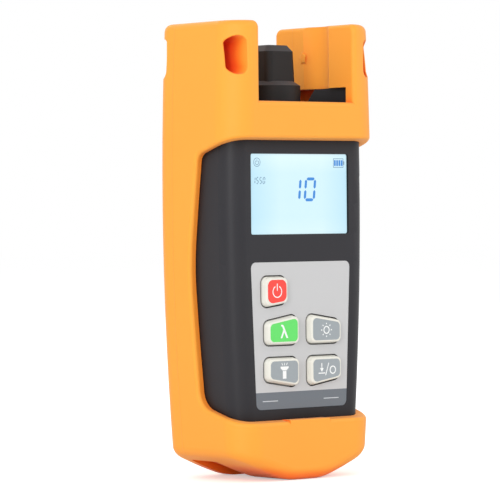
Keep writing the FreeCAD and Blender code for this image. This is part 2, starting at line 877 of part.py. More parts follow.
def grip_section(half, corner, z):
    wire = rounded_wire(rectangle(half, -half, half), corner, 0)
    wire.rotate(Vector(0, 0, 0), Vector(1, 0, 0), 90)
    wire.translate(Vector(0, depth_y(axis_depth), z))
    return wire


def grip_loft():
    low = grip_section(cap_grip_half, cap_grip_corner, cap_collar_top)
    brow = grip_section(cap_grip_top_half, cap_grip_corner, cap_top - cap_chamfer)
    high = grip_section(cap_grip_top_half - cap_chamfer * 0.8, cap_grip_corner * 0.6, cap_top)
    return Part.makeLoft([low, brow], True, True).fuse(Part.makeLoft([brow, high], True, True))


def make_torch_led():
    flange_top = deck_z - housing_wall - 0.05
    flange = post(led_x, axis_depth, led_radius + led_flange, flange_top - 1.0, flange_top)
    dome_z = deck_z + led_body - led_radius
    body = post(led_x, axis_depth, led_radius, flange_top - 0.5, dome_z)
    dome = Part.makeSphere(led_radius, Vector(led_x, depth_y(axis_depth), dome_z))
    pins = []
    for shift in (-1.27, 1.27):
        pins.append(post(
            led_x + shift, axis_depth, pin_radius, sensor_board_z + board_thick + 0.05, flange_top - 0.7))
    return body.fuse([flange, dome] + pins).removeSplitter()


# ---------------------------------------------------------------- all nodes

def make_nodes():
    nodes = {
        "boot": make_boot(),
        "front_housing": make_front_housing(),
        "rear_housing": make_rear_housing(),
        "battery_door": make_battery_door(),
        "lcd_window": make_lcd_window(),
        "lcd_glass": make_lcd_glass(),
        "lcd_frame": make_lcd_frame(),
        "backlight_guide": make_backlight_guide(),
        "keypad_panel": make_keypad_panel(),
        "keymat": make_keymat(),
        "key_contacts": make_key_contacts(),
        "main_board": make_main_board(),
        "board_chips": make_board_chips(),
        "sensor_board": make_sensor_board(),
        "case_screws": make_case_screws(),
        "battery_contacts_lower": make_battery_contacts(False),
        "battery_contacts_upper": make_battery_contacts(True),
        "connector_body": make_connector_body(),
        "connector_nut": make_connector_nut(),
        "ferrule_sleeve": make_ferrule_sleeve(),
        "photodiode": make_photodiode(),
        "dust_cap": make_dust_cap(),
        "torch_led": make_torch_led(),
    }
    for name in KEY_OUTLINES:
        nodes[name] = make_key(name)
    for index in range(cell_count):
        nodes["battery_%d" % (index + 1)] = make_battery(index)
    return nodes


def main():
    os.makedirs("parts", exist_ok=True)
    for name, shape in make_nodes().items():
        if not shape.isValid():
            raise ValueError(name + " is not a valid shape")
        shape.exportStep("parts/" + name + ".step")
        print("%-24s %2d solids %10.1f mm3" % (name, len(shape.Solids), shape.Volume))


main()
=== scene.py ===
# %% [markdown]
# # A handheld optical power meter in its rubber boot
# The meter is a black plastic instrument that is pushed into a soft orange boot. The solid pieces come from
# the CAD model, at their real size and in their real place. This lesson gives each of them its finish, adds
# what is printed or lit on them, and lights the whole thing as a product on a white table.

# %% Load the frame
import bpy
import bmesh
import math
from mathutils import Matrix, Vector


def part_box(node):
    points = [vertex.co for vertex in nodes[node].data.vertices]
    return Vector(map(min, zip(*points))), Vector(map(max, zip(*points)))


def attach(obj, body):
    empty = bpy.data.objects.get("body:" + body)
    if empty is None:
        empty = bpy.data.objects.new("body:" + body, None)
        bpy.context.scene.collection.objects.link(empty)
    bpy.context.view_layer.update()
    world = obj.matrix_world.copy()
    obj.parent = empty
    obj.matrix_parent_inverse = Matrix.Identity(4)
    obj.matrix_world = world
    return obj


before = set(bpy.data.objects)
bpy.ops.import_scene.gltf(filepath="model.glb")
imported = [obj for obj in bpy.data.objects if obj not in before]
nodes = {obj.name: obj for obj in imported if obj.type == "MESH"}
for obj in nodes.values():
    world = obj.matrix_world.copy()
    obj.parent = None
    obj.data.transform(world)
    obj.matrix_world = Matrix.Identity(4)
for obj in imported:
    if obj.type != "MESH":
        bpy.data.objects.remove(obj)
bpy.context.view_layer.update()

# %% [markdown]
# ## The camera
# The meter is seen from the front and a little from its left side, from more than a metre away, with a
# long lens, so its upright edges stay almost parallel. A camera could be aimed with a Track To constraint,
# but a matrix made from a yaw, a pitch and a roll says exactly how it stands.

# %% Camera
MM, TO_MM = 0.001, 1000.0
CAMERA_DISTANCE = 1.32
LENS_MM, SENSOR_MM = 230.0, 36.0
AIM_ACROSS, AIM_BEHIND_FACE, AIM_HEIGHT = -16.08, 13.49, 94.79
yaw, pitch, roll = math.radians(40.0), math.radians(0.64), math.radians(-0.51)
face_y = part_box("front_housing")[0][1]
aim_point = Vector((AIM_ACROSS * MM, face_y + AIM_BEHIND_FACE * MM, AIM_HEIGHT * MM))

forward = Vector((math.sin(yaw) * math.cos(pitch), math.cos(yaw) * math.cos(pitch), -math.sin(pitch)))
level = Vector((math.cos(yaw), -math.sin(yaw), 0.0))
above = level.cross(forward)
right = level * math.cos(roll) + above * math.sin(roll)
up = above * math.cos(roll) - level * math.sin(roll)

camera_data = bpy.data.cameras.new("camera")
camera_data.lens = LENS_MM
camera_data.sensor_width = SENSOR_MM
camera = bpy.data.objects.new("camera", camera_data)
turn = Matrix((right, up, -forward)).transposed().to_4x4()
camera.matrix_world = Matrix.Translation(aim_point - forward * CAMERA_DISTANCE) @ turn
bpy.context.collection.objects.link(camera)
bpy.context.scene.camera = camera
print("camera at", [round(v, 3) for v in camera.matrix_world.translation])

# %% [markdown]
# ## Shader maths as plain expressions
# Every finish below is made of nodes. Wiring Math nodes by hand is slow to read, so a small class wraps a
# socket and lets it be added, multiplied and compared like a number. Each operator adds one Math node, and
# the reflected forms let a plain number stand on the left. Colours are mixed by a Mix node, because a Math
# node would turn them grey.

# %% A socket that can do arithmetic


class Flow:
    """A value, colour or vector that runs through a material's nodes."""

    def __init__(self, tree, socket):
        self.tree = tree
        self.socket = socket

    def node(self, kind, settings=None, inputs=None, output=0):
        """Adds any node: its settings first, then the values or links of its sockets."""
        made = self.tree.nodes.new(kind)
        for name, value in (settings or {}).items():
            setattr(made, name, value)
        for name, value in (inputs or {}).items():
            if isinstance(value, Flow):
                self.tree.links.new(value.socket, made.inputs[name])
            else:
                made.inputs[name].default_value = value
        return Flow(self.tree, made.outputs[output])

    def math(self, operation, first, second=0.0):
        """Adds a Math node; an operation on one value ignores the second."""
        return self.node("ShaderNodeMath", {"operation": operation}, {0: first, 1: second})

    def __add__(self, other):
        return self.math("ADD", self, other)

    __radd__ = __add__

    def __sub__(self, other):
        return self.math("SUBTRACT", self, other)

    def __rsub__(self, other):
        return self.math("SUBTRACT", other, self)

    def __mul__(self, other):
        return self.math("MULTIPLY", self, other)

    __rmul__ = __mul__

    def __abs__(self):
        return self.math("ABSOLUTE", self)

    def __lt__(self, other):
        return self.math("LESS_THAN", self, other)

    def __gt__(self, other):
        return self.math("GREATER_THAN", self, other)

    def mix(self, low, high):
        """The colour low where this mask is 0, and high where it is 1."""
        settings = {"data_type": "RGBA", "clamp_factor": True}
        return self.node("ShaderNodeMix", settings, {"Factor": self, 6: low, 7: high}, output=2)


print("operators ready")

# %% [markdown]
# ## One starting point for every finish
# A Principled surface suits every piece here: rubber, moulded plastic, film, glass and metal differ only in
# colour, gloss and relief. The helper makes it, and hands back the object coordinates, which sit still on
# each piece because every CAD piece keeps its origin at the meter's foot.

# %% Surface helpers


def surface(name, **uniform):
    """A new material with a Principled surface, its shader node and its coordinates in millimetres."""
    material = bpy.data.materials.new(name)
    material.use_nodes = True
    tree = material.node_tree
    shader = next(n for n in tree.nodes if n.type == "BSDF_PRINCIPLED")
    for socket, value in uniform.items():
        shader.inputs[socket.replace("_", " ")].default_value = value
    place = Flow(tree, tree.nodes.new("ShaderNodeTexCoord").outputs["Object"])
    scaled = place.node("ShaderNodeVectorMath", {"operation": "SCALE"}, {0: place, "Scale": TO_MM})
    return material, shader, scaled


def feed(shader, **links):
    """Links what varies over a surface to the shader's sockets."""
    for socket, flow in links.items():
        flow.tree.links.new(flow.socket, shader.inputs[socket.replace("_", " ")])


def speckle(place, size, detail=2.0, roughness=0.5):
    """Noise whose blotches are about size millimetres across."""
    inputs = {"Vector": place, "Scale": 1.0 / size, "Detail": detail, "Roughness": roughness}
    return place.node("ShaderNodeTexNoise", {}, inputs)


def relief(height, depth_mm, strength):
    """A bump whose full height is depth_mm."""
    inputs = {"Height": height, "Distance": depth_mm * MM, "Strength": strength}
    return height.node("ShaderNodeBump", {}, inputs)


def coat_piece(material, *names):
    """Gives CAD pieces one material in all of their slots."""
    for name in names:
        data = nodes[name].data
        data.materials.clear()
        data.materials.append(material)
    print(material.name, "on", ", ".join(names))


print("surface helpers ready")

# %% [markdown]
# ## Masks
# A mask is a number from 0 to 1 that says where one look gives way to another. On this meter the looks change
# with height, with the way a face looks and with how deep a place lies in a hollow. Masks could be painted
# by hand, but these follow the shape by themselves: a coordinate, a normal or an occlusion node goes in, and
# a ramp turns it into the mask.

# %% Masks
X, Y, Z = 0, 1, 2


def part_of(place, axis):
    """One coordinate of a place or a direction."""
    return place.node("ShaderNodeSeparateXYZ", {}, {0: place}, output=axis)


def ramp(value, start, end):
    """0 at start, 1 at end, straight between."""
    inputs = {0: value, 1: start, 2: end, 3: 0.0, 4: 1.0}
    return value.node("ShaderNodeMapRange", {"clamp": True}, inputs)


def openness(place, reach_mm, own_hollows_only):
    """1 on open surfaces, falling towards 0 in hollows about reach_mm wide."""
    settings = {"samples": 12, "only_local": own_hollows_only}
    return place.node("ShaderNodeAmbientOcclusion", settings, {"Distance": reach_mm * MM}, output="AO")


def facing(place, axis):
    """How far a face looks along an axis: 1 straight along it, -1 straight against it."""
    normal = place.node("ShaderNodeNewGeometry", {}, {}, output="True Normal")
    return part_of(normal, axis)


def line_at(value, middle, half_width):
    """A ridge that is 1 at middle and 0 at half_width from it."""
    return ramp(abs(value - middle), half_width, 0.0)


print("masks ready")

# %% [markdown]
# ## The boot: soft orange rubber
# The boot is moulded thermoplastic rubber. It is satin, with a very fine grain and a faint bloom that shows
# where the surface turns away, and a low seam runs round it where the two halves of the mould met. In its
# slots and hollows the light bounces from orange to orange, so they look much redder than the outside. More
# bounces would give only some of that, so that red shade is painted into the colour: an occlusion mask that
# looks at the boot alone paints its hollows redder and darker. A second mask with a short reach also sees the
# housing and the table, and paints the creases beside them with red shade too.

# %% Boot finish
ORANGE = (1.0, 0.393, 0.043, 1.0)
ORANGE_DEEP = (0.985, 0.370, 0.038, 1.0)
# Painted shade: the next three colours are painted where hollows and creases lie in shade and bounced light.
ORANGE_PAINTED_SHADE = (1.0, 0.29, 0.018, 1.0)
ORANGE_PAINTED_DEEP_SHADE = (0.96, 0.085, 0.008, 1.0)
ORANGE_PAINTED_CREASE_SHADE = (1.0, 0.20, 0.012, 1.0)
ORANGE_SEAM = (0.93, 0.31, 0.034, 1.0)
SEAM_DEPTH, SEAM_HALF_WIDTH = 13.4, 0.45


def boot_finish():
    material, shader, place = surface(
        "boot_rubber", Specular_IOR_Level=0.35, Sheen_Weight=0.2, Sheen_Roughness=0.4,
        Sheen_Tint=(1.0, 0.72, 0.66, 1.0))
    broad = speckle(place, 28.0, 3.0)
    grain = speckle(place, 0.35, 3.0, 0.6)
    seam = line_at(part_of(place, Y), SEAM_DEPTH, SEAM_HALF_WIDTH)
    # Painted shade: these two masks paint hollows and creases redder and darker, for their shade and bounced
    # light.
    clear = openness(place, 30.0, own_hollows_only=True)
    beside = ramp(openness(place, 8.0, own_hollows_only=False), 0.3, 0.8)
    skin_and_painted_shade = ramp(clear, 0.55, 0.95).mix(ORANGE_PAINTED_SHADE, broad.mix(ORANGE_DEEP, ORANGE))
    skin_and_painted_shade = beside.mix(ORANGE_PAINTED_CREASE_SHADE, (seam * 0.35).mix(skin_and_painted_shade, ORANGE_SEAM))
    feed(
        shader,
        Base_Color=ramp(clear, 0.15, 0.6).mix(ORANGE_PAINTED_DEEP_SHADE, skin_and_painted_shade),
        Roughness=0.5 + grain * 0.12 + broad * 0.05,
        Normal=relief(grain * 0.15 + seam, 0.12, 0.7))
    return material


coat_piece(boot_finish(), "boot")

# %% [markdown]
# ## The gate mark
# Rubber flows into the mould through a gate, and where it is torn off, a rough scar stays on the inner face
# of the right ear. It is an irregular low blister with a torn edge. A ring-shaped mesh with a wavering
# radius gives it, and it takes the boot's own finish.

# %% Gate mark
GATE_CENTRE, GATE_RADIUS, GATE_HEIGHT = (25.52, 6.9, 175.6), 2.2, 0.6
GATE_RINGS = [(1.0, 0.0), (0.86, 0.55), (0.66, 1.0), (0.42, 0.7), (0.2, 0.95)]
GATE_POINTS = 40


def mesh_piece(name, work, material, smooth):
    """Turns a bmesh into a piece with one material."""
    bmesh.ops.recalc_face_normals(work, faces=work.faces)
    mesh = bpy.data.meshes.new(name)
    work.to_mesh(mesh)
    work.free()
    mesh.polygons.foreach_set("use_smooth", [smooth] * len(mesh.polygons))
    mesh.materials.append(material)
    piece = bpy.data.objects.new(name, mesh)
    bpy.context.collection.objects.link(piece)
    return piece


def gate_point(centre, radius, height, share, lift, angle):
    """A point of the torn ring at this share of the radius and of the height, in metres."""
    waver = 1 + 0.13 * math.sin(5 * angle + 0.6) + 0.07 * math.sin(11 * angle + 2 * share)
    out = radius * share * waver
    x = centre[0] - height * lift * (1 + 0.2 * math.sin(3 * angle + 5 * share))
    y, z = centre[1] + out * math.cos(angle) * 0.9, centre[2] + out * math.sin(angle) * 1.15
    return x * MM, y * MM, z * MM


def gate_mark(name, centre, radius, height):
    """A torn blister on a face that looks along -X; centre is (x, y, z) in millimetres."""
    work = bmesh.new()
    angles = [2 * math.pi * k / GATE_POINTS for k in range(GATE_POINTS)]
    loops = [
        [work.verts.new(gate_point(centre, radius, height, share, lift, angle)) for angle in angles]
        for share, lift in GATE_RINGS]
    for outer, inner in zip(loops, loops[1:]):
        for k in range(GATE_POINTS):
            ahead = (k + 1) % GATE_POINTS
            work.faces.new((outer[k], outer[ahead], inner[ahead], inner[k]))
    work.faces.new(loops[-1])
    work.faces.new(loops[0][::-1])
    piece = mesh_piece(name, work, nodes["boot"].data.materials[0], smooth=True)
    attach(piece, "meter")


gate_mark("gate_mark", GATE_CENTRE, GATE_RADIUS, GATE_HEIGHT)
print("gate mark on the right ear:", GATE_RADIUS * 2, "mm wide,", GATE_HEIGHT, "mm high")

# %% [markdown]
# ## The housing: spark-textured black plastic
# The shells are black ABS from a mould with a fine spark-eroded texture, which breaks highlights into a soft
# grey sheen. A fine noise makes the relief and keeps the gloss uneven, and a broad one varies the colour a
# little. Where an occlusion mask finds a hollow, beside the boot's rim, the colour is painted darker, almost
# black, as painted shade.

# %% Housing finish
BLACK = (0.0300, 0.0295, 0.0350, 1.0)
BLACK_WARM = (0.0350, 0.0335, 0.0370, 1.0)
# Painted shade: the colour painted into hollows beside the boot's rim.
BLACK_PAINTED_SHADE = (0.0080, 0.0055, 0.0052, 1.0)


def housing_finish():
    material, shader, place = surface("housing_plastic", Specular_IOR_Level=0.16)
    broad = speckle(place, 22.0, 2.0)
    spark = speckle(place, 0.22, 2.0, 0.7)
    # Painted shade: where this occlusion mask finds a hollow, the plastic is painted almost black.
    open_part = ramp(openness(place, 18.0, own_hollows_only=False), 0.45, 1.0)
    feed(
        shader,
        Base_Color=open_part.mix(BLACK_PAINTED_SHADE, broad.mix(BLACK, BLACK_WARM)),
        Roughness=0.34 + spark * 0.12,
        Normal=relief(spark, 0.03, 0.6))
    return material


coat_piece(housing_finish(), "front_housing", "rear_housing", "battery_door")

# %% [markdown]
# ## The dust cap: black rubber
# The cap is softer and a little greyer than the housing, and it picks up dust and finger marks, which show
# as paler, rougher patches. The shoulder and the bevel at the top are painted paler still, as painted light
# from above, by a mask on how far each face looks upwards.

# %% Cap finish
CAP_BLACK = (0.011, 0.010, 0.0105, 1.0)
CAP_WORN = (0.026, 0.024, 0.024, 1.0)
# Painted light: the paler colour painted on faces that look up, for light from above.
CAP_PAINTED_TOP_LIGHT = (0.075, 0.068, 0.070, 1.0)


def cap_finish():
    material, shader, place = surface("cap_rubber", Specular_IOR_Level=0.2)
    marks = speckle(place, 6.0, 4.0, 0.6)
    grain = speckle(place, 0.3, 2.0)
    # Painted light: faces that look up are painted paler, standing for light that falls from above.
    top_light = ramp(facing(place, Z), 0.15, 0.8) * (0.55 + marks * 0.5)
    feed(
        shader,
        Base_Color=top_light.mix(marks.mix(CAP_BLACK, CAP_WORN), CAP_PAINTED_TOP_LIGHT),
        Roughness=0.45 + marks * 0.2,
        Normal=relief(grain, 0.02, 0.4))
    return material


coat_piece(cap_finish(), "dust_cap")

# %% [markdown]
# ## Keypad film and keys
# The overlay is a printed matte film: pale grey, with a darker band at its foot. Its cut edges round the keys
# are painted black, as painted shade for the gaps round the keys. The keys are cream silicone rubber. The
# band is a mask on the height, and the edges are a mask on the direction a face looks in.

# %% Keypad finishes
FILM = (0.565, 0.565, 0.57, 1.0)
FILM_BAND = (0.155, 0.175, 0.20, 1.0)
# Painted shade: the black painted on the film's cut edges, for the gaps round the keys.
FILM_PAINTED_EDGE_SHADE = (0.03, 0.03, 0.032, 1.0)
CREAM = (0.81, 0.80, 0.725, 1.0)
CREAM_SHADE = (0.76, 0.745, 0.67, 1.0)
BAND_TOP = 36.4
LOOKS_FORWARD = -0.7


def film_finish():
    material, shader, place = surface("panel_film", Specular_IOR_Level=0.35)
    grain = speckle(place, 0.25, 2.0)
    band = part_of(place, Z) < BAND_TOP
    # Painted shade: faces that don't look forward, the cut edges, get the black painted shade.
    printed = facing(place, Y) < LOOKS_FORWARD
    feed(
        shader,
        Base_Color=printed.mix(FILM_PAINTED_EDGE_SHADE, band.mix(FILM, FILM_BAND)),
        Roughness=0.5 + grain * 0.15,
        Normal=relief(grain, 0.01, 0.3))
    return material


def key_finish():
    material, shader, place = surface("key_rubber", Specular_IOR_Level=0.4)
    broad = speckle(place, 9.0, 2.0)
    grain = speckle(place, 0.3, 2.0)
    feed(
        shader,
        Base_Color=broad.mix(CREAM_SHADE, CREAM),
        Roughness=0.42 + grain * 0.12,
        Normal=relief(grain, 0.01, 0.3))
    return material


KEYS = ["key_power", "key_wavelength", "key_light", "key_torch", "key_reference"]
coat_piece(film_finish(), "keypad_panel")
coat_piece(key_finish(), *KEYS)

# %% [markdown]
# ## Display
# The acrylic window is bonded to the liquid crystal cell, so the pale blue backlight seems to come from the
# window's own face and fills it to the very edge. Its lamps stand along the top, so the light is nearly
# white there and in the middle, and bluer towards the two sides. Ramps across and down the window give that.

# %% Display finishes
BACKLIGHT = (0.79, 0.965, 1.0, 1.0)
BACKLIGHT_DIM = (0.50, 0.79, 0.95, 1.0)
CELL_DARK = (0.10, 0.16, 0.19, 1.0)
CELL_PALE = (0.14, 0.20, 0.22, 1.0)
LEFT_RISE, RIGHT_RISE = (-1.0, 16.0), (3.0, -14.0)
TOP_GLOW, FOOT_GLOW = 8.0, 7.0
WINDOW_GLOW, CELL_GLOW = 0.8, 0.5


def display_finish(name, glow):
    """Dim at both sides, full in the middle, with a little more light near the top and the foot."""
    material, shader, place = surface(
        name, Roughness=0.22, Specular_IOR_Level=0.3, Emission_Strength=glow, Coat_Weight=0.15)
    low, high = (corner * TO_MM for corner in map(Vector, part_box("lcd_window")))
    wide, tall = part_of(place, X), part_of(place, Z)
    from_left = ramp(wide, low.x + LEFT_RISE[0], low.x + LEFT_RISE[1])
    from_right = ramp(wide, high.x + RIGHT_RISE[0], high.x + RIGHT_RISE[1])
    near_top = ramp(tall, high.z - TOP_GLOW, high.z)
    near_foot = ramp(tall, low.z + FOOT_GLOW, low.z)
    haze = speckle(place, 14.0, 2.0)
    strength = from_left * from_right * 0.55 + near_top * 0.35 + near_foot * 0.2 + haze * 0.12
    feed(
        shader,
        Emission_Color=strength.mix(BACKLIGHT_DIM, BACKLIGHT),
        Base_Color=strength.mix(CELL_DARK, CELL_PALE))
    return material


coat_piece(display_finish("display_cell", CELL_GLOW), "lcd_glass")
coat_piece(display_finish("window_plastic", WINDOW_GLOW), "lcd_window")

# %% [markdown]
# ## Hidden metal
# The receptacle, the leaf contacts and the screws only show when the cap or the door is off, but they still
# get their real finishes: nickel on the receptacle, spring steel, and gold on the key contacts. Noise in the
# roughness gives the handled look. The CAD model leaves the thread out, so rings of relief, a sine of the
# height, stand for it.

# %% Metal finishes
NICKEL = (0.72, 0.70, 0.66, 1.0)
STEEL = (0.66, 0.66, 0.67, 1.0)
GOLD = (0.83, 0.60, 0.25, 1.0)
THREAD_PITCH = 0.75


def metal_finish(name, colour, rough, scratch):
    """Handled metal whose scratches are about scratch millimetres long."""
    material, shader, place = surface(name, Metallic=1.0, Base_Color=colour)
    marks = speckle(place, scratch, 4.0, 0.7)
    feed(shader, Roughness=rough + marks * 0.15, Normal=relief(marks, 0.01, 0.3))
    return material


def threaded_finish(name, colour, pitch_mm):
    """Turned and threaded metal: rings of relief, one to each pitch of height."""
    material, shader, place = surface(name, Metallic=1.0, Base_Color=colour)
    marks = speckle(place, 1.5, 4.0, 0.7)
    phase = part_of(place, Z) * (2 * math.pi / pitch_mm)
    rings = phase.math("SINE", phase)
    feed(shader, Roughness=0.22 + marks * 0.15, Normal=relief(rings, 0.08, 0.8))
    return material


coat_piece(threaded_finish("threaded_nickel", NICKEL, THREAD_PITCH), "connector_body")
coat_piece(metal_finish("nickel", NICKEL, 0.22, 1.5), "connector_nut")
coat_piece(
    metal_finish("spring_steel", STEEL, 0.28, 0.8),
    "battery_contacts_lower", "battery_contacts_upper", "photodiode", "case_screws")
coat_piece(metal_finish("gold_contact", GOLD, 0.3, 0.5), "key_contacts")

# %% [markdown]
# ## Hidden boards and plastics
# The boards are green laminate, the chips are nearly black, the ferrule sleeve is ivory zirconia and the
# display's frame is white. The web under the keys is painted nearly black, as painted shade for the gaps
# round the keys. They differ only in two close colours, a roughness and the size of the blotches that blend
# them, so one helper and a table make them all. The torch's LED is clear epoxy: it takes the same helper,
# and also lets light through.

# %% Plain finishes


def plain_finish(name, dark, light, rough, blotch, **uniform):
    """Two close colours in blotches about blotch millimetres wide."""
    material, shader, place = surface(name, **uniform)
    marks = speckle(place, blotch, 3.0)
    feed(
        shader,
        Base_Color=marks.mix(dark + (1.0,), light + (1.0,)),
        Roughness=rough + marks * 0.12,
        Normal=relief(marks, 0.01, 0.3))
    return material


PLAIN = [
    ("zirconia", (0.86, 0.85, 0.80), (0.92, 0.91, 0.87), 0.15, 2.0, ["ferrule_sleeve"]),
    ("board_laminate", (0.02, 0.16, 0.07), (0.03, 0.22, 0.09), 0.35, 2.5, ["main_board", "sensor_board"]),
    ("chip_plastic", (0.02, 0.02, 0.02), (0.035, 0.035, 0.035), 0.5, 0.5, ["board_chips"]),
    # Painted shade: the web under the keys is nearly black so the gaps round the keys read dark.
    ("keymat_dark_gap_shade", (0.012, 0.012, 0.012), (0.02, 0.02, 0.02), 0.6, 2.0, ["keymat"]),
    ("white_plastic", (0.82, 0.84, 0.86), (0.88, 0.9, 0.92), 0.3, 4.0, ["lcd_frame", "backlight_guide"]),
]
for name, dark, light, rough, blotch, pieces in PLAIN:
    coat_piece(plain_finish(name, dark, light, rough, blotch), *pieces)
LED_DARK, LED_LIGHT = (0.85, 0.9, 0.95), (0.95, 0.97, 1.0)
coat_piece(plain_finish("led_epoxy", LED_DARK, LED_LIGHT, 0.08, 3.0, Transmission_Weight=0.7), "torch_led")

# %% [markdown]
# ## The cells
# Each cell wears a printed sleeve, dark with a copper-coloured end. A mask on the height changes the colour,
# and a slightly metallic surface makes it look like printed foil. No name is printed on it.

# %% Cell sleeves
SLEEVE, COPPER = (0.05, 0.055, 0.06, 1.0), (0.62, 0.30, 0.12, 1.0)
COPPER_END = 13.0


def sleeve_finish():
    """A dark cell sleeve with one copper-coloured end."""
    material, shader, place = surface("cell_sleeve", Metallic=0.6)
    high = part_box("battery_1")[1]
    top = part_of(place, Z) > high[2] * TO_MM - COPPER_END
    marks = speckle(place, 3.0)
    feed(shader, Base_Color=top.mix(SLEEVE, COPPER), Roughness=0.3 + marks * 0.1)
    return material


coat_piece(sleeve_finish(), "battery_1", "battery_2", "battery_3")

# %% [markdown]
# ## Printed and lit marks
# The colour fields on the keys, their signs and the display's figures are ink. They could be painted in a
# shader, but thin plates keep a crisp edge at any distance and travel with the key that carries them. Each
# is a flat outline that faces the front, given a hair of thickness. The extrude operator would do that, but
# it can list its faces in another order on each run, so the plates are built face by face, always alike.

# %% Ink plates
FIELD_INK, FINE_INK = 0.03, 0.02


def flat_piece(name, shapes, base_mm, material, body, thickness):
    """Plates of ink on the surface at base_mm, from outlines (x, z) in millimetres."""
    work = bmesh.new()
    for outline in shapes:
        rear, front = (
            [work.verts.new((x * MM, y * MM, z * MM)) for x, z in outline]
            for y in (base_mm, base_mm - thickness))
        work.faces.new(rear)
        work.faces.new(front)
        for k in range(len(outline)):
            ahead = (k + 1) % len(outline)
            work.faces.new((rear[k], rear[ahead], front[ahead], front[k]))
    piece = mesh_piece(name, work, material, smooth=False)
    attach(piece, body)


def ink(name, colour, glow=0.0):
    """Slightly worn ink; glow makes it shine as a lit display does."""
    material, shader, place = surface(name, Emission_Strength=glow)
    wear = speckle(place, 1.2, 3.0)
    darker = tuple(v * 0.93 for v in colour[:3]) + (1.0,)
    feed(shader, Base_Color=wear.mix(darker, colour), Roughness=0.45 + wear * 0.1)
    if glow:
        feed(shader, Emission_Color=wear.mix(darker, colour))
    return material


print("ink is", FIELD_INK, "mm thick on the fields and", FINE_INK, "mm elsewhere")

# %% [markdown]
# ## Outlines with rounded corners
# A key's field follows the key's own outline, a little inside it and with round corners. Blender's bevel and
# inset tools could make that, but two short functions on lists of points do it without any leftover mesh.

# %% Rounded outlines


def rounded(points, radius, steps=6):
    """A convex outline with every corner turned into an arc."""
    outline = []
    count = len(points)
    for i in range(count):
        here = Vector(points[i])
        back = (Vector(points[i - 1]) - here).normalized()
        ahead = (Vector(points[(i + 1) % count]) - here).normalized()
        half = back.angle(ahead) / 2
        centre = here + (back + ahead).normalized() * (radius / math.sin(half))
        start = here + back * (radius / math.tan(half)) - centre
        end = here + ahead * (radius / math.tan(half)) - centre
        for k in range(steps + 1):
            spoke = (start * (1 - k / steps) + end * (k / steps)).normalized() * radius
            outline.append(tuple(centre + spoke))
    return outline


def inset(points, distance):
    """A convex counter-clockwise outline moved inwards, or outwards by a distance below zero."""
    count = len(points)
    corners = []
    for i in range(count):
        a, b, c = (Vector(points[(i + k) % count]) for k in (-1, 0, 1))
        u, v = (b - a).normalized(), (c - b).normalized()
        shift = Vector((-u.y - v.y, u.x + v.x)).normalized()
        corners.append(b + shift * (distance / shift.dot(Vector((-u.y, u.x)))))
    return [tuple(p) for p in corners]


print("outline helpers ready")

# %% [markdown]
# ## Key fields
# Each key carries a printed field a little inside its rounded edge. The power key is red and the wavelength
# key green; the rest are grey. The corners below are the keys' own, in millimetres across and up.

# %% Key fields
OUTER_X, INNER_X = 20.2, 2.9
KEY_CORNERS = {
    "key_power": [(-21.4, 71.2), (-8.8, 72.8), (-8.8, 83.9), (-21.4, 83.9)],
    "key_wavelength": [(-OUTER_X, 55.8), (-INNER_X, 55.8), (-INNER_X, 68.2), (-OUTER_X, 65.4)],
    "key_light": [(INNER_X, 55.8), (OUTER_X, 55.8), (OUTER_X, 65.4), (INNER_X, 68.2)],
    "key_torch": [(-OUTER_X, 41.0), (-INNER_X, 38.2), (-INNER_X, 50.5), (-OUTER_X, 50.5)],
    "key_reference": [(INNER_X, 38.2), (OUTER_X, 41.0), (OUTER_X, 50.5), (INNER_X, 50.5)],
}
FIELD_INSET = 1.3
FIELD_ROUND, POWER_FIELD_ROUND = 1.9, 2.6
key_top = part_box("key_power")[0][1] * TO_MM
grey_ink = ink("ink_grey", (0.335, 0.372, 0.395, 1.0))
field_inks = {
    "key_power": ink("ink_red", (0.95, 0.06, 0.045, 1.0)),
    "key_wavelength": ink("ink_green", (0.125, 0.74, 0.14, 1.0)),
    "key_light": grey_ink,
    "key_torch": grey_ink,
    "key_reference": grey_ink,
}
white_ink = ink("ink_white", (0.92, 0.93, 0.92, 1.0))

for name, corners in KEY_CORNERS.items():
    corner_round = POWER_FIELD_ROUND if name == "key_power" else FIELD_ROUND
    outline = rounded(inset(corners, FIELD_INSET), corner_round)
    flat_piece(name + "_field", [outline], key_top, field_inks[name], name, FIELD_INK)
print("fields:", len(KEY_CORNERS))

# %% [markdown]
# ## The painted shade round each key
# The film's cut-out is a little larger than the key, and the black shell shows in the gap. A fine black ring
# of painted shade is laid on the film along each cut-out, so that the gap round each key reads dark. Two
# outlines with the same number of points, joined by short plates, make a ring.

# %% Painted gap shade round the keys
KEY_ROUND, KEY_GAP, GAP_SHADE_WIDTH = 2.6, 0.4, 0.17
# Painted shade: black ink rings on the film stand for the shade in the gaps round the keys.
gap_shade_ink = ink("ink_gap_shade", (0.012, 0.012, 0.013, 1.0))
film_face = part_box("keypad_panel")[0][1] * TO_MM


def ring_between(inner, outer):
    """Short plates that fill the space between two outlines with equal numbers of points."""
    count = len(inner)
    steps = [(k, (k + 1) % count) for k in range(count)]
    return [[inner[a], inner[b], outer[b], outer[a]] for a, b in steps]


for name, corners in KEY_CORNERS.items():
    cut = rounded(inset(corners, -KEY_GAP), KEY_ROUND + KEY_GAP)
    line = rounded(inset(corners, -KEY_GAP - GAP_SHADE_WIDTH), KEY_ROUND + KEY_GAP + GAP_SHADE_WIDTH)
    flat_piece(name + "_gap_shade_ring", ring_between(cut, line), film_face, gap_shade_ink, "meter", FINE_INK)
print("gap shade rings:", len(KEY_CORNERS))

# %% [markdown]
# ## Bars and arcs
# Line signs are drawn with a pen of one width. A curve with a bevel would do it, but its ends and joints need
# care, so a stroke here is a plain four-cornered bar, and an arc is a row of short ones.

# %% Bars and arcs
FULL_TURN = 360


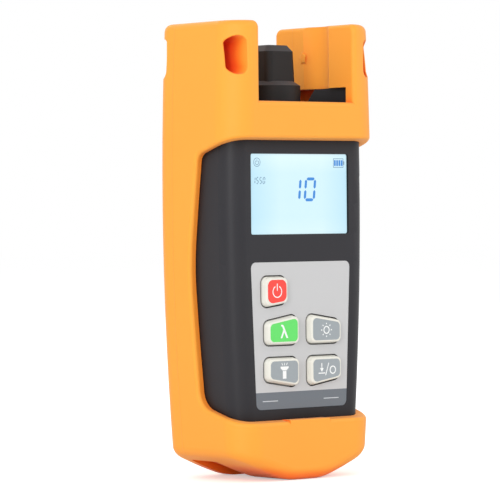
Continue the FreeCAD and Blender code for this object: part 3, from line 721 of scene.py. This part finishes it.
def stroke(first, last, width):
    """A straight bar between two points."""
    a, b = Vector(first), Vector(last)
    side = Vector((-(b - a).y, (b - a).x)).normalized() * (width / 2)
    return [tuple(a + side), tuple(a - side), tuple(b - side), tuple(b + side)]


def arc_band(x, z, radius, width, start, end, count=24):
    """Short bars along part of a circle, angles in degrees from straight up, clockwise."""
    def at(angle, r):
        return (x + r * math.sin(math.radians(angle)), z + r * math.cos(math.radians(angle)))

    bars = []
    for k in range(count):
        a, b = (start + (end - start) * (k + j) / count for j in (0, 1))
        inner, outer = radius - width / 2, radius + width / 2
        bars.append([at(a, inner), at(a, outer), at(b, outer), at(b, inner)])
    return bars


print("bars and arcs ready")

# %% [markdown]
# ## Signs on the keys
# The signs are white ink on top of the fields. A font would give letters only, so each sign is drawn from
# bars, arcs and small polygons: a broken ring for power, a lambda for wavelength, a sun for the backlight, a
# torch, and an arrow on a line with a nought for taking the present level as zero. The sizes are measured
# from the middle of the key.

# %% Key signs


def power_sign(x, z):
    """A ring that is open at the top, and a bar through the opening."""
    line, half_opening = 0.42, 26
    ring = arc_band(x, z - 0.2, 2.35, line, half_opening, FULL_TURN - half_opening)
    return ring + [stroke((x, z + 0.2), (x, z + 3.1), line)]


def sun_sign(x, z):
    """A small ring with eight short rays."""
    rays = []
    middle, rays_from, rays_to = Vector((x, z)), 2.35, 2.95
    for k in range(8):
        angle = math.radians(45 * k)
        tip = Vector((math.cos(angle), math.sin(angle)))
        rays.append(stroke(middle + tip * rays_from, middle + tip * rays_to, 0.5))
    return arc_band(x, z, 1.45, 0.48, 0, FULL_TURN) + rays


def wave_sign(x, z):
    """The Greek lambda that stands for wavelength, as one outline."""
    outline = [(-1.7, 2.8), (-1.7, 2.2), (-1.1, 2.1), (-0.47, 0.75), (-2.0, -2.7), (-1.1, -2.7),
               (0.0, -0.24), (1.15, -2.7), (2.15, -2.7), (-0.2, 2.3), (-0.65, 2.8)]
    return [[(x + across, z + rise) for across, rise in outline]]


def torch_sign(x, z):
    """A torch that points up, with three rays."""
    head = [(x - 2.2, z + 1.9), (x - 2.2, z + 1.3), (x - 1.1, z + 0.3), (x + 1.1, z + 0.3),
            (x + 2.2, z + 1.3), (x + 2.2, z + 1.9)]
    body = [(x - 0.95, z + 0.1), (x - 0.95, z - 3.1), (x + 0.95, z - 3.1), (x + 0.95, z + 0.1)]
    rays = [stroke((x + side, z + 2.4), (x + side * 1.5, z + 3.4), 0.3) for side in (-1, 0, 1)]
    return [head, body] + rays


def level_sign(x, z):
    """An arrow that comes down on a line, and the figure nought: take this level as zero."""
    ground = stroke((x - 4.6, z - 1.6), (x - 0.9, z - 1.6), 0.45)
    shaft = stroke((x - 2.75, z + 2.6), (x - 2.75, z + 0.52), 0.45)
    head = [(x - 3.75, z + 0.5), (x - 2.75, z - 1.1), (x - 1.75, z + 0.5)]
    slash = stroke((x - 0.7, z - 2.6), (x + 1.1, z + 2.6), 0.4)
    return [ground, shaft, head, slash, *arc_band(x + 3.3, z - 0.4, 1.5, 0.5, 0, FULL_TURN)]


def middle_of(name):
    """The mean of a key's corners."""
    corners = KEY_CORNERS[name]
    return sum(c[0] for c in corners) / len(corners), sum(c[1] for c in corners) / len(corners)


for name, sign in zip(KEYS, (power_sign, wave_sign, sun_sign, torch_sign, level_sign)):
    flat_piece(name + "_sign", sign(*middle_of(name)), key_top - FIELD_INK, white_ink, name, FINE_INK)
print("signs:", len(KEYS))

# %% [markdown]
# ## Rules on the band
# The darker band at the foot of the film carries two thin pale rules, one near each end. Each is one printed
# line, so one stroke of ink gives it.

# %% Band rules
RULE_HEIGHT, RULE_WIDTH = 32.8, 0.35
RULES = [(-21.2, -13.0), (12.0, 20.2)]
band_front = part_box("keypad_panel")[0][1] * TO_MM
rule_ink = ink("ink_rule", (0.62, 0.65, 0.68, 1.0))
rules = [stroke((start, RULE_HEIGHT), (end, RULE_HEIGHT), RULE_WIDTH) for start, end in RULES]
flat_piece("band_rules", rules, band_front, rule_ink, "meter", FINE_INK)
print("rules on the band:", len(rules))

# %% [markdown]
# ## Figures on the display
# A liquid crystal shows a figure as up to seven bars with fine gaps between them, leaning a little to the
# right. Each bar is a six-cornered plate. The bars go by the letters a to g: a on top, then clockwise round
# the figure, with g in the middle.

# %% Seven-bar figures
SEGMENTS = {"0": "abcdef", "1": "bc", "5": "afgcd"}


def digit(char, x, z, width, height, bar, lean):
    """Bars of one figure, from its lower left corner."""
    gap = bar * 0.2
    low, middle, high = z + bar / 2, z + height / 2, z + height - bar / 2
    left, right_side = x + bar / 2, x + width - bar / 2
    ends = {
        "a": ((left, high), (right_side, high)), "b": ((right_side, high), (right_side, middle)),
        "c": ((right_side, middle), (right_side, low)), "d": ((left, low), (right_side, low)),
        "e": ((left, middle), (left, low)), "f": ((left, high), (left, middle)),
        "g": ((left, middle), (right_side, middle))}
    bars = []
    for key in SEGMENTS[char]:
        a, b = (Vector(p) for p in ends[key])
        along = (b - a).normalized()
        side = Vector((-along.y, along.x)) * bar / 2
        a, b = a + along * gap, b - along * gap
        shape = [a, a + along * bar / 2 + side, b - along * bar / 2 + side, b,
                 b - along * bar / 2 - side, a + along * bar / 2 - side]
        bars.append([(p.x + lean * (p.y - z), p.y) for p in shape])
    return bars


def figures(text, x, z, width, height, bar, pitch, lean):
    """Figures side by side, one to each pitch."""
    bars = []
    for i, char in enumerate(text):
        bars += digit(char, x + i * pitch, z, width, height, bar, lean)
    return bars


print("figures known:", ", ".join(SEGMENTS))

# %% [markdown]
# ## The reading and the setting
# The large reading is blue and glows a little with the backlight. The small setting above and to the left of
# it is thinner and greyer. Both are plain figures without a unit or a name.

# %% Reading and setting
LEAN = 0.1
glass_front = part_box("lcd_window")[0][1] * TO_MM
blue_ink = ink("display_blue", (0.035, 0.21, 0.58, 1.0), glow=0.22)
faint_ink = ink("display_faint", (0.15, 0.27, 0.38, 1.0), glow=0.2)
reading = figures("10", -5.6, 114.7, width=6.2, height=9.9, bar=1.25, pitch=8.0, lean=LEAN)
flat_piece("display_reading", reading, glass_front, blue_ink, "meter", FINE_INK)
small = figures("1550", -25.0, 121.9, width=1.3, height=2.9, bar=0.36, pitch=1.75, lean=LEAN)
flat_piece("display_setting", small, glass_front, faint_ink, "meter", FINE_INK)
print("bars in the reading:", len(reading), "and in the setting:", len(small))

# %% [markdown]
# ## The cell gauge and the standby sign
# The gauge is a cell with a nub and four bars of charge. The standby sign is a ring with a smaller broken
# ring inside it. Their outlines are grey like the setting, and the charge is blue like the reading.

# %% Gauge and standby sign
GAUGE_LINE = 0.26


def gauge(x, z, width, height):
    """The outline of a cell with its nub, and its four bars of charge."""
    half, inside = 0.13, 0.14
    nub = x + width + 0.4
    cell = [
        stroke((x - half, z), (x + width + half, z), GAUGE_LINE),
        stroke((x - half, z + height), (x + width + half, z + height), GAUGE_LINE),
        stroke((x, z + inside), (x, z + height - inside), GAUGE_LINE),
        stroke((x + width, z + inside), (x + width, z + height - inside), GAUGE_LINE),
        stroke((nub, z + height * 0.3), (nub, z + height * 0.7), 0.5)]
    step = (width - 1.6) / 3
    places = [x + 0.8 + step * k for k in range(4)]
    fill = [stroke((place, z + 0.6), (place, z + height - 0.6), 0.95) for place in places]
    return cell, fill


def standby_sign(x, z):
    """A ring, and a smaller broken ring with a bar inside it."""
    line = 0.28
    ring = arc_band(x, z, 1.75, GAUGE_LINE, 0, FULL_TURN)
    broken = arc_band(x, z - 0.1, 0.95, line, 40, 320, 12)
    return ring + broken + [stroke((x, z), (x, z + 1.2), line)]


outline, charge = gauge(19.1, 128.8, width=5.4, height=3.6)
flat_piece("display_gauge", outline, glass_front, faint_ink, "meter", FINE_INK)
flat_piece("display_charge", charge, glass_front, blue_ink, "meter", FINE_INK)
flat_piece("display_standby", standby_sign(-22.65, 130.8), glass_front, faint_ink, "meter", FINE_INK)
print("bars of charge:", len(charge))

# %% [markdown]
# ## The table
# The picture is a product shot on a white table with almost no shadow. A plain white floor under soft lamps
# would still come out a little grey, so the table also glows faintly. The glow is there only for rays that
# come straight from the camera, so it never adds light to the meter.

# %% Table
TABLE_REACH = 6.0
PAINT = (0.88, 0.88, 0.88, 1.0)
WHITE = (1.0, 1.0, 1.0, 1.0)
TABLE_GLOW = 0.45


def table_finish():
    material = bpy.data.materials.new("table")
    material.use_nodes = True
    tree = material.node_tree
    tree.nodes.clear()
    start = Flow(tree, None)
    paint = start.node("ShaderNodeBsdfDiffuse", {}, {"Color": PAINT})
    glow = start.node("ShaderNodeEmission", {}, {"Color": WHITE, "Strength": TABLE_GLOW})
    both = start.node("ShaderNodeAddShader", {}, {0: paint, 1: glow})
    seen = start.node("ShaderNodeLightPath", {}, {}, output="Is Camera Ray")
    mixed = start.node("ShaderNodeMixShader", {}, {0: seen, 1: paint, 2: both})
    out = tree.nodes.new("ShaderNodeOutputMaterial")
    tree.links.new(mixed.socket, out.inputs["Surface"])
    return material


table_mesh = bpy.data.meshes.new("table")
table_corners = [(across * TABLE_REACH, deep * TABLE_REACH, 0)
                 for across, deep in ((-1, -1), (1, -1), (1, 1), (-1, 1))]
table_mesh.from_pydata(table_corners, [], [(0, 1, 2, 3)])
table = bpy.data.objects.new("table", table_mesh)
bpy.context.collection.objects.link(table)
table_mesh.materials.append(table_finish())
print("table", TABLE_REACH * 2, "m wide")

# %% [markdown]
# ## The white surround
# The world is the white room round the table. The camera, glossy reflections and clear plastic see it as
# plain white, while the light it throws on the meter is weaker, so pale surfaces keep their colour.

# %% World
SURROUND = 0.62


def white_surround(strength):
    """A world that looks white but lights the scene with this strength."""
    world = bpy.data.worlds.new("surround")
    bpy.context.scene.world = world
    world.use_nodes = True
    tree = world.node_tree
    tree.nodes.clear()
    start = Flow(tree, None)
    light = start.node("ShaderNodeBackground", {}, {"Color": WHITE, "Strength": strength})
    white = start.node("ShaderNodeBackground", {}, {"Color": WHITE, "Strength": 1.0})
    camera_ray = start.node("ShaderNodeLightPath", {}, {}, output="Is Camera Ray")
    glossy_ray = start.node("ShaderNodeLightPath", {}, {}, output="Is Glossy Ray")
    through_ray = start.node("ShaderNodeLightPath", {}, {}, output="Is Transmission Ray")
    shown = start.math("MINIMUM", camera_ray + glossy_ray + through_ray, 1.0)
    mixed = start.node("ShaderNodeMixShader", {}, {0: shown, 1: light, 2: white})
    out = tree.nodes.new("ShaderNodeOutputWorld")
    tree.links.new(mixed.socket, out.inputs["Surface"])


white_surround(SURROUND)
print("surround at", SURROUND)

# %% [markdown]
# ## The lamps
# Four square lamps stand for soft boxes: the strongest at the front left, a weaker one high at the left, one
# at the front right and one behind, which lights the back as plainly as the front. A narrow upright strip
# draws the grey line of light along the housing's round left edge. All of them are aimed at the middle of
# the meter by turning their -Z axis to it.

# %% Lamps
LAMP_TARGET = Vector((0, 0, 0.09))
LAMPS = [  # name, place in metres, width and height in metres, watts
    ("key_lamp", (-1.25, -1.2, 0.9), 1.1, 1.1, 9.5),
    ("strip_lamp", (-1.3, -0.8, 0.15), 0.3, 0.9, 6.5),
    ("side_lamp", (-1.5, -0.1, 1.5), 1.0, 1.0, 5.0),
    ("fill_lamp", (1.3, -1.0, 0.8), 1.2, 1.2, 7.0),
    ("back_lamp", (0.5, 1.6, 1.1), 1.2, 1.2, 8.0),
]


def soft_lamp(name, place, wide, tall, watts):
    """A soft box at a place, turned to the meter."""
    data = bpy.data.lights.new(name, "AREA")
    data.shape = "RECTANGLE"
    data.size, data.size_y = wide, tall
    data.energy = watts
    lamp = bpy.data.objects.new(name, data)
    bpy.context.collection.objects.link(lamp)
    lamp.location = place
    lamp.rotation_euler = (LAMP_TARGET - Vector(place)).to_track_quat("-Z", "Y").to_euler()


for lamp_row in LAMPS:
    soft_lamp(*lamp_row)
print("lamps:", len(LAMPS))

# %% [markdown]
# ## Finish
# The view transform stays plain so that colours come out as they are written.

# %% Finish
bpy.context.scene.view_settings.view_transform = "Standard"
